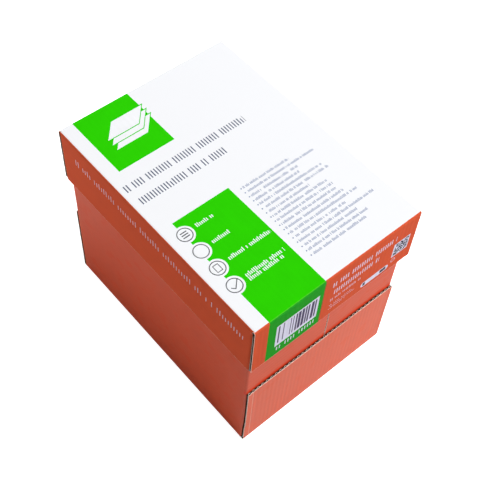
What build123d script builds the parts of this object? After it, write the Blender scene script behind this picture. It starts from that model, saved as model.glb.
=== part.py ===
"""Carton of copier paper: a folded tray, a lift-off lid and a stack of wrapped reams.

Frame: +Z up, origin at the middle of the carton's footprint, on the surface it stands on.
X runs across the carton and Y along it, so the long walls are at -X and +X and the short
ends at -Y and +Y. All sizes are in millimetres.

The tray and the lid are each folded from one blank of fluted board. The flutes run along
Y in the blank, so they stand upright in the glued end panels, where they end in open
mouths along the cut edge, and lie level in the walls, skirts, flaps and tabs.
"""

from build123d import *

import math
import os

# ---------------------------------------------------------------- driving dimensions
# the goods: wrapped reams of 500 A4 sheets, laid flat on each other
REAM_WIDTH = 210.0
REAM_LENGTH = 297.0
REAM_HEIGHT = 49.0
REAM_COUNT = 5
REAM_EDGE_RADIUS = 1.2
WRAP_FOLD_RISE = 0.3  # of the wrapper's folded ends above the end face
WRAP_FOLD_MARGIN = 1.5  # from the folded ends to the rounded edges of the end face
WRAP_FOLD_GAP = 3.0  # between the upper and the lower folded end
WRAP_FOLD_ANGLE = 45.0  # of a folded end's slanting sides, in degrees

# the board and its folds
BOARD = 3.0
FOLD_RADIUS = 2.6  # outside of a crease
CREASE_RADIUS = 0.4  # inside of a crease

# clearances
REAM_SIDE_GAP = 1.2  # ream to long wall
REAM_END_GAP = 0.5  # ream to end flap
REAM_TOP_GAP = 1.0  # top ream to the lid's top panel
LID_SIDE_GAP = 0.7  # long wall of the tray to long skirt of the lid
LID_END_GAP = 0.6  # end flap of the tray to corner tab of the lid

# panels that stop short of the full height or width
END_PANEL_HEIGHT = 110.7  # glued end panel of the tray
SKIRT_DEPTH = 76.6  # from the lid's top face down to its lower edge
TAB_LENGTH = 92.0  # corner tab of the lid, along the end
PANEL_SIDE_INSET = 0.6  # side edge of a glued end panel to the long wall's face
SLIT_WIDTH = 1.2  # between the two end flaps at one end of the tray
SLIT_OFFSET = 4.4  # of that slit from the middle of the end

# fluting, open where a cut edge crosses it
FLUTE_PITCH = 6.4
FACING = 0.3  # flat sheet on each side of the board
FLUTE_SHEET = 0.3  # waved sheet between the facings
FLUTE_CREST = 0.7  # half width of a flute's flat crest
FLUTE_ROUND = 0.35  # at the corners of the crest
FLUTE_MOUTH_DEPTH = 12.0  # open length behind the cut edge
FLUTE_ROW_MARGIN = 2.0  # whole board left at the ends of a row of flutes

# ---------------------------------------------------------------- derived places
ENDS = (-1, 1)

tray_width = REAM_WIDTH + 2 * (REAM_SIDE_GAP + BOARD)
flaps_length = REAM_LENGTH + 2 * (REAM_END_GAP + BOARD)  # over the folded end flaps
tray_height = BOARD + REAM_COUNT * REAM_HEIGHT + REAM_TOP_GAP
end_panel_width = tray_width - 2 * PANEL_SIDE_INSET

lid_width = tray_width + 2 * (LID_SIDE_GAP + BOARD)
tabs_length = flaps_length + 2 * (LID_END_GAP + BOARD)  # over the corner tabs
lid_length = tabs_length + 2 * BOARD  # over the glued end skirts
lid_top = tray_height + BOARD
lid_bottom = lid_top - SKIRT_DEPTH
end_skirt_width = lid_width - 2 * PANEL_SIDE_INSET
tab_spacing = lid_width - 2 * TAB_LENGTH  # between the two corner tabs at one end

flute_rise = BOARD - 2 * FACING - FLUTE_SHEET
flute_half_base = FLUTE_PITCH / 2 - FLUTE_CREST - FLUTE_SHEET / 2
flute_angle = math.degrees(math.atan2(flute_rise, flute_half_base - FLUTE_CREST))

fold_half_height = REAM_HEIGHT / 2 - REAM_EDGE_RADIUS - WRAP_FOLD_MARGIN
fold_reach = fold_half_height - WRAP_FOLD_GAP / 2  # of one folded end towards mid-height
fold_width = REAM_WIDTH - 2 * (REAM_EDGE_RADIUS + WRAP_FOLD_MARGIN)

# ---------------------------------------------------------------- the hollow of one flute
# a rounded trapezoid, with the board's middle at Y = 0 and its base on the lower facing
with BuildSketch() as flute_hollow:
    with Locations((0, FACING - BOARD / 2)):
        Trapezoid(2 * flute_half_base, flute_rise, flute_angle, align=(Align.CENTER, Align.MIN))
    fillet(flute_hollow.vertices().group_by(Axis.Y)[-1], FLUTE_ROUND)


def open_flutes(cut_edge: Plane, row_length: float) -> None:
    """Cut open flutes into the part being built, behind one cut edge of a panel.

    The plane lies in the cut edge: its origin is in the middle of the board, its X runs
    along the edge, and its normal points into the board. The hollows stand by turns on
    one facing and on the other, half a pitch apart.
    """
    count = int((row_length - 2 * FLUTE_ROW_MARGIN) / FLUTE_PITCH)
    with BuildSketch(cut_edge) as mouths:
        for side, turn in ((-1, 0), (1, 180)):
            with Locations((side * FLUTE_PITCH / 4, 0)):
                with GridLocations(FLUTE_PITCH, BOARD, count, 1):
                    add(flute_hollow.sketch, rotation=turn)
    extrude(mouths.sketch, amount=FLUTE_MOUTH_DEPTH, mode=Mode.SUBTRACT)


# ---------------------------------------------------------------- tray
# One blank: a bottom, two long walls whose ends fold round as flaps and meet at a slit,
# and two lower end panels that fold up from the bottom and are glued over the flaps.
with BuildPart() as tray:
    # the outside: upright corner folds, and rounded creases along the bottom's long edges
    with BuildSketch():
        RectangleRounded(tray_width, flaps_length, FOLD_RADIUS)
    extrude(amount=tray_height)
    with BuildSketch(Plane.XZ) as cross_section:
        Rectangle(tray_width, tray_height, align=(Align.CENTER, Align.MIN))
        fillet(cross_section.vertices().group_by(Axis.Z)[0], FOLD_RADIUS)
    extrude(amount=flaps_length, both=True, mode=Mode.INTERSECT)

    # the inside
    with BuildSketch(Plane.XY.offset(BOARD)):
        RectangleRounded(tray_width - 2 * BOARD, flaps_length - 2 * BOARD, CREASE_RADIUS)
    extrude(amount=tray_height, mode=Mode.SUBTRACT)

    # the slits where the end flaps meet
    with BuildSketch(Plane.XY.offset(BOARD)):
        with Locations((SLIT_OFFSET, 0)):
            Rectangle(SLIT_WIDTH, flaps_length)
    extrude(amount=tray_height, mode=Mode.SUBTRACT)

    # the glued end panels
    with BuildSketch():
        for end in ENDS:
            with Locations((0, end * (flaps_length + BOARD) / 2)):
                Rectangle(end_panel_width, BOARD)
    extrude(amount=END_PANEL_HEIGHT)
    low_edges = tray.edges().filter_by(Axis.X).group_by(Axis.Z)[0].group_by(Axis.Y)
    fillet(low_edges[0] + low_edges[-1], FOLD_RADIUS)

    for end in ENDS:
        panel_middle = (0, end * (flaps_length + BOARD) / 2, END_PANEL_HEIGHT)
        open_flutes(Plane(panel_middle, x_dir=(1, 0, 0), z_dir=(0, 0, -1)), end_panel_width)

# ---------------------------------------------------------------- lid
# One blank: a top, two long skirts whose ends fold round as corner tabs, and two end
# skirts that fold down from the top and are glued over the tabs.
with BuildPart() as lid:
    # the outside: upright corner folds, and rounded creases along the top's long edges
    with BuildSketch(Plane.XY.offset(lid_bottom)):
        RectangleRounded(lid_width, tabs_length, FOLD_RADIUS)
    extrude(amount=SKIRT_DEPTH)
    with BuildSketch(Plane.XZ) as cross_section:
        Rectangle(lid_width, lid_top, align=(Align.CENTER, Align.MIN))
        fillet(cross_section.vertices().group_by(Axis.Z)[-1], FOLD_RADIUS)
    extrude(amount=tabs_length, both=True, mode=Mode.INTERSECT)

    # the inside, and the open stretch between the corner tabs at each end
    with BuildSketch(Plane.XY.offset(lid_bottom)):
        RectangleRounded(lid_width - 2 * BOARD, tabs_length - 2 * BOARD, CREASE_RADIUS)
        Rectangle(tab_spacing, tabs_length)
    extrude(amount=SKIRT_DEPTH - BOARD, mode=Mode.SUBTRACT)

    # the glued end skirts
    with BuildSketch(Plane.XY.offset(lid_bottom)):
        for end in ENDS:
            with Locations((0, end * (tabs_length + BOARD) / 2)):
                Rectangle(end_skirt_width, BOARD)
    extrude(amount=SKIRT_DEPTH)
    high_edges = lid.edges().filter_by(Axis.X).group_by(Axis.Z)[-1].group_by(Axis.Y)
    fillet(high_edges[0] + high_edges[-1], FOLD_RADIUS)

    for end in ENDS:
        skirt_middle = (0, end * (tabs_length + BOARD) / 2, lid_bottom)
        open_flutes(Plane(skirt_middle, x_dir=(1, 0, 0), z_dir=(0, 0, 1)), end_skirt_width)

# ---------------------------------------------------------------- reams
# Each is one sealed pack: the sheets and the wrapper round them, whose ends are folded in
# like a parcel's. The two tapered folds at each short end stand a little proud of it.
reams = []
for number in range(REAM_COUNT):
    ream_base = BOARD + number * REAM_HEIGHT
    with BuildPart() as ream:
        with BuildSketch(Plane.XY.offset(ream_base)):
            Rectangle(REAM_WIDTH, REAM_LENGTH)
        extrude(amount=REAM_HEIGHT)
        fillet(ream.edges(), REAM_EDGE_RADIUS)
        for end in ENDS:
            end_middle = (0, end * REAM_LENGTH / 2, ream_base + REAM_HEIGHT / 2)
            with BuildSketch(Plane(end_middle, x_dir=(-end, 0, 0), z_dir=(0, end, 0))):
                with PolarLocations(0, 2):
                    with Locations((0, -fold_half_height)):
                        Trapezoid(
                            fold_width,
                            fold_reach,
                            WRAP_FOLD_ANGLE,
                            align=(Align.CENTER, Align.MIN),
                        )
            extrude(amount=WRAP_FOLD_RISE)
    reams.append(ream)

# ---------------------------------------------------------------- files
tray.part.label = "tray"
lid.part.label = "lid"
for number, ream in enumerate(reams, start=1):
    ream.part.label = f"ream_{number}"

os.makedirs("parts", exist_ok=True)
for piece in (tray, lid, *reams):
    export_step(piece.part, f"parts/{piece.part.label}.step")
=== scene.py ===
"""Looks of a carton of copier paper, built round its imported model.

The carton is a folded tray, a lift-off lid and a stack of wrapped reams. Lengths are in
metres, +Z is up, X runs across the carton and Y along it, and the origin is in the middle
of the footprint. Tray and lid are each folded from one blank of fluted board, made here
as the three real sheets: a printed facing, a waved sheet and an inner facing.
"""

import logging
import math
from collections.abc import Sequence
from dataclasses import dataclass, field, replace
from enum import Enum
from functools import partial, reduce

import bmesh
import bpy
import numpy as np
from mathutils import Matrix, Vector

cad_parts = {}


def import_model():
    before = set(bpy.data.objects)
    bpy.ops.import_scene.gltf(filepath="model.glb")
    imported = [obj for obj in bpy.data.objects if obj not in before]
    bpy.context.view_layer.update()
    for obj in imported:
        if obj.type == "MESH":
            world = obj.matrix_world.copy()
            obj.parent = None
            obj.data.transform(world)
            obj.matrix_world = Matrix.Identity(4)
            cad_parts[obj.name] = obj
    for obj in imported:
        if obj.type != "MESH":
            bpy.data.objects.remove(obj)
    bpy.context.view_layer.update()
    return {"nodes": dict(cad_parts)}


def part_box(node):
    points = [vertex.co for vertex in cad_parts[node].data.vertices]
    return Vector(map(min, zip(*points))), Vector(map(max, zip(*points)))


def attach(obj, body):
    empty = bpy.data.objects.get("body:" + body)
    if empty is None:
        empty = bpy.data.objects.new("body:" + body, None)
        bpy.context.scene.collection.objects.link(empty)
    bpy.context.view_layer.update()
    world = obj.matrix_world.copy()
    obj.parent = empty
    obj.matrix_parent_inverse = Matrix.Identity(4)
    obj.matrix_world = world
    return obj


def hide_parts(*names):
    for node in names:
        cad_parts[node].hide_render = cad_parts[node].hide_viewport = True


LOG = logging.getLogger("carton")
MM = 0.001
SHEET_MAP = "sheet"  # UV map: place on the flat sheet, in metres
JOINED = 0.004 * MM  # points nearer to each other than this become one
NO_LENGTH = 0.002 * MM  # edges shorter than this go
SHARP = math.radians(35)  # edges that bend more than this stay sharp in the shading

Socket = bpy.types.NodeSocket
Value = Socket | float
Colour = tuple[float, float, float, float]
Paint = Socket | Colour
Lengths = tuple[float, ...]
Pair = tuple[float, float]
Triple = tuple[float, float, float]


def mm(*lengths: float) -> Lengths:
    """Turn lengths in millimetres into metres."""
    return tuple(length * MM for length in lengths)


def put_in_scene(name: str, data: bpy.types.ID) -> bpy.types.Object:
    """Make an object and link it into the scene.

    Args:
        name: The object's name.
        data: The mesh, lamp or camera that it shows.

    Returns:
        The new object, at the origin.
    """
    shown = bpy.data.objects.new(name, data)
    bpy.context.scene.collection.objects.link(shown)
    return shown


# ------------------------------------------------------------------ rows of numbers
def spaced(marks: Sequence[float], steps: Sequence[float]) -> np.ndarray:
    """Divide each stretch between two marks into even parts.

    Args:
        marks: Places in rising order.
        steps: The widest part allowed in each stretch, one fewer than the marks.

    Returns:
        The marks and the divisions between them, in rising order.
    """
    runs = []
    for low, high, step in zip(marks, marks[1:], steps):
        parts = max(1, math.ceil((high - low) / step - 1e-6))
        runs.append(np.linspace(low, high, parts + 1)[:-1])
    return np.concatenate([*runs, [marks[-1]]])


def mirrored(half: np.ndarray) -> np.ndarray:
    """Repeat places that start at zero on the negative side too."""
    return np.concatenate([-half[:0:-1], half])


def ripple(u: np.ndarray, v: np.ndarray, length: float, seed: int) -> np.ndarray:
    """Give a slow random height, about -1 to 1, as seven cosine waves added together.

    Args:
        u: First coordinate of each point.
        v: Second coordinate of each point.
        length: Middle wave length, in the units of the coordinates.
        seed: Fixes the directions, lengths and starts of the waves.

    Returns:
        The height at each point.
    """
    waves, shortest, longest = 7, 0.6, 1.7
    rng = np.random.default_rng(seed)
    angle = rng.uniform(0, math.tau, waves)
    per_length = math.tau / (length * rng.uniform(shortest, longest, waves))
    start = rng.uniform(0, math.tau, waves)
    height = np.zeros(np.broadcast(u, v).shape)
    for a, w, p in zip(angle, per_length, start):
        height = height + np.cos(w * (u * math.cos(a) + v * math.sin(a)) + p)
    return height / math.sqrt(2 * waves)


def slow_depth(u: np.ndarray, v: np.ndarray, length: float, seed: int) -> np.ndarray:
    """Give a slow random depth from 0 to 2, as one more than a ripple kept within 1."""
    return 1 + np.clip(ripple(u, v, length, seed), -1, 1)


def smooth_step(value: np.ndarray, low: float, high: float) -> np.ndarray:
    """Rise from 0 at low to 1 at high, as three squares of the share less two of its cubes."""
    share = np.clip((value - low) / (high - low), 0, 1)
    return share * share * (3 - 2 * share)


# ------------------------------------------------------------------ grids into meshes
def grid_quads(rows: int, columns: int) -> np.ndarray:
    """Number the four corners of every cell of a grid of points, row by row.

    Args:
        rows: How many rows of points there are.
        columns: How many points there are in a row.

    Returns:
        Four corner numbers for each cell.
    """
    corner = np.arange(rows * columns).reshape(rows, columns)
    cells = [corner[:-1, :-1], corner[1:, :-1], corner[1:, 1:], corner[:-1, 1:]]
    return np.stack(cells, axis=-1).reshape(-1, 4)


def rim_quads(cells: np.ndarray, filled: np.ndarray) -> np.ndarray:
    """Number the corners of the quads that join two layers of points at their cut edges.

    A cell of the grid has a rim on each side where the next cell is empty. The second
    layer's points are numbered after the first layer's.

    Args:
        cells: Which cells these rims belong to.
        filled: Which cells hold any sheet at all.

    Returns:
        Four corner numbers for each rim quad.
    """
    rows, columns = cells.shape
    corner = np.arange((rows + 1) * (columns + 1)).reshape(rows + 1, columns + 1)
    around = np.pad(filled, 1)
    sides = (
        (around[:-2, 1:-1], corner[:-1, :-1], corner[:-1, 1:]),
        (around[2:, 1:-1], corner[1:, :-1], corner[1:, 1:]),
        (around[1:-1, :-2], corner[:-1, :-1], corner[1:, :-1]),
        (around[1:-1, 2:], corner[:-1, 1:], corner[1:, 1:]),
    )
    rims = []
    for neighbour, start, end in sides:
        cut = cells & ~neighbour
        a, b = start[cut], end[cut]
        rims.append(np.stack([a, b, b + corner.size, a + corner.size], axis=-1))
    return np.concatenate(rims)


class Shell:
    """Quads gathered from grids of points, which become one mesh object."""

    def __init__(self) -> None:
        """Start with no points."""
        self.points: list[np.ndarray] = []
        self.places: list[np.ndarray] = []
        self.quads: list[np.ndarray] = []
        self.finishes: list[np.ndarray] = []
        self.count = 0

    def points_from(self, points: np.ndarray, places: np.ndarray) -> int:
        """Take in points and their places on the flat sheet.

        Args:
            points: Positions, with three numbers in the last axis.
            places: Places on the flat sheet, with two numbers in the last axis.

        Returns:
            The number of the first point taken in.
        """
        first = self.count
        self.points.append(points.reshape(-1, 3))
        self.places.append(places.reshape(-1, 2))
        self.count += points.size // 3
        return first

    def quads_from(self, quads: np.ndarray, finish: int) -> None:
        """Take in quads, all with one finish."""
        self.quads.append(quads)
        self.finishes.append(np.full(len(quads), finish))

    def build(self, name: str, materials: Sequence[bpy.types.Material]) -> bpy.types.Object:
        """Turn what was gathered into an object in the scene.

        Points in one place are joined, what has no area goes, faces turn outwards, and
        the real edges stay sharp in the shading.

        Args:
            name: The piece's name.
            materials: One for each finish number.

        Returns:
            The new object, at the origin.
        """
        quads = np.concatenate(self.quads)
        used, corners = np.unique(quads, return_inverse=True)
        corners = corners.reshape(-1, 4)
        points = np.concatenate(self.points)[used]
        places = np.concatenate(self.places)[used]

        mesh = bpy.data.meshes.new(name)
        mesh.vertices.add(len(points))
        mesh.vertices.foreach_set("co", points.astype(np.float32).ravel())
        mesh.loops.add(corners.size)
        mesh.loops.foreach_set("vertex_index", corners.astype(np.int32).ravel())
        mesh.polygons.add(len(corners))
        mesh.polygons.foreach_set("loop_start", np.arange(0, corners.size, 4, dtype=np.int32))
        mesh.polygons.foreach_set("material_index", np.concatenate(self.finishes).astype(np.int32))
        sheet = mesh.uv_layers.new(name=SHEET_MAP)
        sheet.data.foreach_set("uv", places[corners].astype(np.float32).ravel())
        mesh.update(calc_edges=True)

        work = bmesh.new()
        work.from_mesh(mesh)
        bmesh.ops.remove_doubles(work, verts=work.verts, dist=JOINED)
        bmesh.ops.dissolve_degenerate(work, edges=work.edges, dist=NO_LENGTH)
        bmesh.ops.recalc_face_normals(work, faces=work.faces)
        work.to_mesh(mesh)
        work.free()
        mesh.polygons.foreach_set("use_smooth", np.ones(len(mesh.polygons), dtype=bool))
        mesh.set_sharp_from_angle(angle=SHARP)

        for material in materials:
            mesh.materials.append(material)
        LOG.info("%s: %d faces", name, len(mesh.polygons))
        return put_in_scene(name, mesh)


# ------------------------------------------------------------------ writing materials
def ink(red: int, green: int, blue: int) -> Colour:
    """Turn a colour on the usual 0 to 255 scale into the linear one of the shaders.

    A dark share is divided by 12.92. A lighter one has 0.055 added, is divided by 1.055
    and is raised to the power of 2.4.

    Args:
        red: Amount of red.
        green: Amount of green.
        blue: Amount of blue.

    Returns:
        The linear colour, with a full fourth channel.
    """
    shares = (channel / 255 for channel in (red, green, blue))
    linear = [s / 12.92 if s <= 0.04045 else ((s + 0.055) / 1.055) ** 2.4 for s in shares]
    return (*linear, 1.0)


class NodeSheet:
    """A material's nodes, with a short method for each kind that the finishes use."""

    def __init__(self, name: str) -> None:
        """Start an empty material.

        Args:
            name: The material's name.
        """
        self.material = bpy.data.materials.new(name)
        self.material.use_nodes = True
        self.tree = self.material.node_tree
        self.tree.nodes.clear()

    def add(self, kind: str, **settings: object) -> bpy.types.Node:
        """Add a node.

        Args:
            kind: What sort of node it is.
            settings: The node's properties, by name.

        Returns:
            The new node.
        """
        node = self.tree.nodes.new("ShaderNode" + kind)
        for name, value in settings.items():
            setattr(node, name, value)
        return node

    def feed(self, socket: Socket, value: Value | Colour) -> None:
        """Link a socket to another, or set its own number or colour.

        Args:
            socket: The socket to feed.
            value: Another socket, a number or a colour.
        """
        if isinstance(value, bpy.types.NodeSocket):
            self.tree.links.new(value, socket)
        else:
            socket.default_value = value

    # ---- numbers and masks
    def math(self, operation: str, *values: Value) -> Socket:
        """Work out one number from others.

        Args:
            operation: What is done with them.
            values: One to three numbers.

        Returns:
            The result.
        """
        node = self.add("Math", operation=operation)
        for socket, value in zip(node.inputs, values):
            self.feed(socket, value)
        return node.outputs[0]

    def plus(self, first: Value, second: Value) -> Socket:
        """Add two numbers."""
        return self.math("ADD", first, second)

    def minus(self, first: Value, second: Value) -> Socket:
        """Subtract a second number from a first."""
        return self.math("SUBTRACT", first, second)

    def blend(self, value: Value, factor: Value, base: Value) -> Socket:
        """Multiply a number by a factor and add a base."""
        return self.math("MULTIPLY_ADD", value, factor, base)

    def size(self, value: Value) -> Socket:
        """Take a number without its sign."""
        return self.math("ABSOLUTE", value)

    def times(self, *values: Value) -> Socket:
        """Multiply several numbers, which is where all of several masks meet."""
        return reduce(partial(self.math, "MULTIPLY"), values)

    def either(self, *masks: Value) -> Socket:
        """Take the largest of several masks, which is where any of them is."""
        return reduce(partial(self.math, "MAXIMUM"), masks)

    def without(self, mask: Value, cut: Value) -> Socket:
        """Keep a mask where another isn't."""
        return self.times(mask, self.minus(1.0, cut))

    def above(self, value: Value, low: Value) -> Socket:
        """Mark where a number is more than another."""
        return self.math("GREATER_THAN", value, low)

    def below(self, value: Value, high: Value) -> Socket:
        """Mark where a number is less than another."""
        return self.math("LESS_THAN", value, high)

    def between(self, value: Value, low: float, high: float) -> Socket:
        """Mark where a number lies between two others."""
        return self.math("COMPARE", value, (low + high) / 2, (high - low) / 2)

    def distance(self, u: Value, v: Value) -> Socket:
        """Give the distance from where two coordinates are zero, as the root of their squares' sum."""
        return self.math("SQRT", self.plus(self.times(u, u), self.times(v, v)))

    def whole(self, length: Value, pitch: float) -> Socket:
        """Count the whole pitches in a length."""
        return self.math("FLOOR", self.math("DIVIDE", length, pitch))

    def rest(self, length: Value, pitch: float) -> Socket:
        """Give the share of a pitch that is left over after the whole ones."""
        return self.math("FRACT", self.math("DIVIDE", length, pitch))

    def chance(self, *cells: Value) -> Socket:
        """Give a random number from 0 to 1 that is the same all over a cell.

        Args:
            cells: The cell's whole number, or its two numbers.

        Returns:
            The random number.
        """
        noise = self.add("TexWhiteNoise", noise_dimensions=f"{len(cells)}D")
        if len(cells) == 1:
            self.feed(noise.inputs["W"], cells[0])
        else:
            pair = self.add("CombineXYZ")
            for socket, cell in zip(pair.inputs, cells):
                self.feed(socket, cell)
            self.feed(noise.inputs["Vector"], pair.outputs[0])
        return noise.outputs["Value"]

    def noise(self, place: Socket, lumps: Triple, detail: float) -> Socket:
        """Give a smooth random number, about 0.2 to 0.8.

        Args:
            place: The coordinates.
            lumps: How many lumps there are in a metre, along each axis.
            detail: How many finer layers are added.

        Returns:
            The number.
        """
        mapping = self.add("Mapping", vector_type="POINT")
        self.feed(mapping.inputs["Vector"], place)
        mapping.inputs["Scale"].default_value = lumps
        node = self.add("TexNoise")
        self.feed(node.inputs["Vector"], mapping.outputs[0])
        node.inputs["Scale"].default_value = 1.0
        node.inputs["Detail"].default_value = detail
        return node.outputs[0]

    def rescale(self, value: Socket, low: float, high: float) -> Socket:
        """Spread a noise's usual range, 0.3 to 0.7, over another.

        Args:
            value: The noise.
            low: Where the new range starts.
            high: Where it ends.

        Returns:
            The number in the new range.
        """
        node = self.add("MapRange")
        for socket, number in zip(node.inputs, (value, 0.3, 0.7, low, high)):
            self.feed(socket, number)
        return node.outputs[0]

    # ---- places
    def object_place(self) -> Socket:
        """Give the place in the piece's own frame, in metres."""
        return self.add("TexCoord").outputs["Object"]

    def sheet_place(self) -> Socket:
        """Give the place on the flat sheet, in metres."""
        return self.add("UVMap", uv_map=SHEET_MAP).outputs[0]

    # ---- colours and the surface
    def mix(self, share: Value, first: Paint, second: Paint, kind: str = "MIX") -> Socket:
        """Blend from a first colour to a second.

        Args:
            share: How much there is of the second.
            first: The first colour.
            second: The second colour.
            kind: How the second acts on the first.

        Returns:
            The blended colour.
        """
        node = self.add("Mix", data_type="RGBA", blend_type=kind)
        self.feed(node.inputs[0], share)
        self.feed(node.inputs[6], first)
        self.feed(node.inputs[7], second)
        return node.outputs[2]

    def shade(self, colour: Paint, factor: Socket) -> Socket:
        """Multiply a colour by a number that varies over the surface.

        Args:
            colour: The colour.
            factor: The number.

        Returns:
            The shaded colour.
        """
        grey = self.add("CombineColor")
        for socket in grey.inputs[:3]:
            self.feed(socket, factor)
        return self.mix(1.0, colour, grey.outputs[0], "MULTIPLY")

    def relief(self, height: Socket, depth: float) -> Socket:
        """Bend the surface's normal as a height that varies from 0 to 1 would.

        Args:
            height: The height.
            depth: How deep the full height is.

        Returns:
            The bent normal.
        """
        node = self.add("Bump")
        node.inputs["Strength"].default_value = 1.0
        node.inputs["Distance"].default_value = depth
        self.feed(node.inputs["Height"], height)
        return node.outputs[0]

    def finish(
        self, colour: Paint, roughness: Value, normal: Socket, gloss: float
    ) -> bpy.types.Material:
        """End the material with a shader for paper or board.

        Args:
            colour: Base colour.
            roughness: How matt it is.
            normal: The bent normal.
            gloss: Specular level, the same all over.

        Returns:
            The finished material.
        """
        shader = self.add("BsdfPrincipled")
        self.feed(shader.inputs["Base Color"], colour)
        self.feed(shader.inputs["Roughness"], roughness)
        self.feed(shader.inputs["Normal"], normal)
        shader.inputs["Specular IOR Level"].default_value = gloss
        return self.end_with(shader)

    def end_with(self, shader: bpy.types.Node) -> bpy.types.Material:
        """Make a shader the material's surface."""
        self.feed(self.add("OutputMaterial").inputs["Surface"], shader.outputs[0])
        return self.material


class PrintSheet(NodeSheet):
    """The material of a printed facing, with the inks that are laid down so far."""

    def __init__(self, name: str, ground: Colour) -> None:
        """Start with one ink all over.

        Args:
            name: The material's name.
            ground: The first ink.
        """
        super().__init__(name)
        self.colour: Paint = ground
        self.sheet = self.sheet_place()
        split = self.add("SeparateXYZ")
        self.feed(split.inputs[0], self.sheet)
        self.s = split.outputs[0]  # place across the flutes
        self.t = split.outputs[1]  # place along the flutes

    def lay(self, mask: Value, colour: Colour) -> None:
        """Lay an ink over the others where a mask is."""
        self.colour = self.mix(mask, self.colour, colour)


@dataclass(frozen=True)
class Patch:
    """An upright rectangle of a print, by its edges."""

    left: float
    right: float
    low: float
    high: float

    def mask(self, nodes: NodeSheet, u: Value, v: Value) -> Socket:
        """Mark the patch, at coordinates along and up."""
        return nodes.times(nodes.between(u, self.left, self.right), nodes.between(v, self.low, self.high))

    def grown(self, margin: float) -> "Patch":
        """Give the patch with a margin added all round."""
        return Patch(self.left - margin, self.right + margin, self.low - margin, self.high + margin)


@dataclass(frozen=True)
class Hatching:
    """Rows of short upright strokes with gaps, which stand where a print has lines of words."""

    left: float  # of every row
    top: float  # of the first row's strokes
    ends: Lengths  # right end of each row
    height: float  # of a tall stroke
    row_pitch: float
    stroke_pitch: float
    stroke: float  # width of a stroke
    gaps: float = 0.16  # share of strokes left out
    short: float = 0.72  # share of strokes left out or short
    lowered: float = 0.25  # how much of its height a short stroke lacks

    def row(self, nodes: NodeSheet, v: Value) -> tuple[Socket, Socket, Socket]:
        """Find the row at each height.

        A row is the whole number of row pitches below the top.

        Args:
            nodes: The material's nodes.
            v: Coordinate up the page.

        Returns:
            The row's number, the place below its top, and the mask of all the rows.
        """
        down = nodes.minus(self.top, v)
        number = nodes.whole(down, self.row_pitch)
        below_top = nodes.times(nodes.rest(down, self.row_pitch), self.row_pitch)
        return number, below_top, nodes.between(number, -0.5, len(self.ends) - 0.5)

    def mask(self, nodes: NodeSheet, u: Value, v: Value) -> Socket:
        """Mark the strokes.

        A stroke is the whole number of stroke pitches from the left, and a random number
        for it and its row says whether it is left out, short or tall.

        Args:
            nodes: The material's nodes.
            u: Coordinate along the rows.
            v: Coordinate up the page.

        Returns:
            The mask.
        """
        row, below_top, in_rows = self.row(nodes, v)
        across = nodes.minus(u, self.left)
        stroke = nodes.whole(across, self.stroke_pitch)
        past_edge = nodes.rest(across, self.stroke_pitch)
        luck = nodes.chance(stroke, row)
        lowered = nodes.times(nodes.below(luck, self.short), self.lowered * self.height)
        return nodes.times(
            in_rows,
            nodes.above(across, 0.0),
            nodes.below(u, self.row_end(nodes, row)),
            nodes.above(luck, self.gaps),
            nodes.between(past_edge, 0.0, self.stroke / self.stroke_pitch),
            nodes.above(below_top, lowered),
            nodes.below(below_top, self.height),
        )

    def row_end(self, nodes: NodeSheet, row: Socket) -> Socket:
        """Give each row's right end, from a ramp with one step for each row.

        Args:
            nodes: The material's nodes.
            row: The row's number.

        Returns:
            The place where the row ends.
        """
        rows = len(self.ends)
        ramp = nodes.add("ValToRGB")
        ramp.color_ramp.interpolation = "CONSTANT"
        steps = ramp.color_ramp.elements
        while len(steps) > 1:
            steps.remove(steps[-1])
        span = max(self.ends) - self.left
        for number, end in enumerate(self.ends):
            step = steps[0] if number == 0 else steps.new(number / rows)
            share = (end - self.left) / span
            step.position = number / rows
            step.color = (share, share, share, 1.0)
        nodes.feed(ramp.inputs[0], nodes.math("DIVIDE", nodes.plus(row, 0.5), float(rows)))
        red = nodes.add("SeparateColor")
        nodes.feed(red.inputs[0], ramp.outputs[0])
        return nodes.blend(red.outputs[0], span, self.left)


# ------------------------------------------------------------------ board and blanks
@dataclass(frozen=True)
class Board:
    """Thicknesses and pitch of the fluted board."""

    thickness: float = 3.0 * MM
    facing: float = 0.45 * MM
    flute_sheet: float = 0.42 * MM
    flute_pitch: float = 6.4 * MM
    washboard: float = 0.13 * MM  # how far a facing sinks between two flutes
    washboard_fade: float = 5 * MM  # the stretch beside a fold over which that grows
    washboard_wander: float = 45 * MM  # length over which its strength varies
    dent: float = 0.10 * MM
    dent_length: float = 70 * MM
    dent_share: float = 0.4  # depth of dents away from the end panels, against those on them
    fold_radius: float = 2.6 * MM
    fold_cell: float = 0.7 * MM  # widest grid cell in a fold
    tuck: float = 0.05 * MM  # waved sheet short of the facings' edges
    mouth_depth: float = 9 * MM  # waved sheet made behind a cut edge that shows

    @property
    def fold_run(self) -> float:
        """Length of the printed face round a right-angled fold."""
        return self.fold_radius * math.pi / 2


class Panel(Enum):
    """The stretches of a folded blank that bend in different ways."""

    BAND = "the flat panel with its two end panels"
    CREASE = "the rounded long edges of the flat panel"
    WALL = "the long walls with the flaps at their ends"


class BoardFace(Enum):
    """The finishes on a folded blank, by their material number."""

    PRINT = 0  # outer side of the printed sheet
    LINER = 1  # inner side of the inner sheet
    SHADED_HOLLOW = 2  # what looks into the flutes, and the inner sheet's cut edge: a dark finish, painted shade
    CUT = 3  # cut edges of the printed sheet


class FluteFace(Enum):
    """The finishes on the waved sheet, by their material number."""

    SIDE = 0
    CUT = 1


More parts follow.
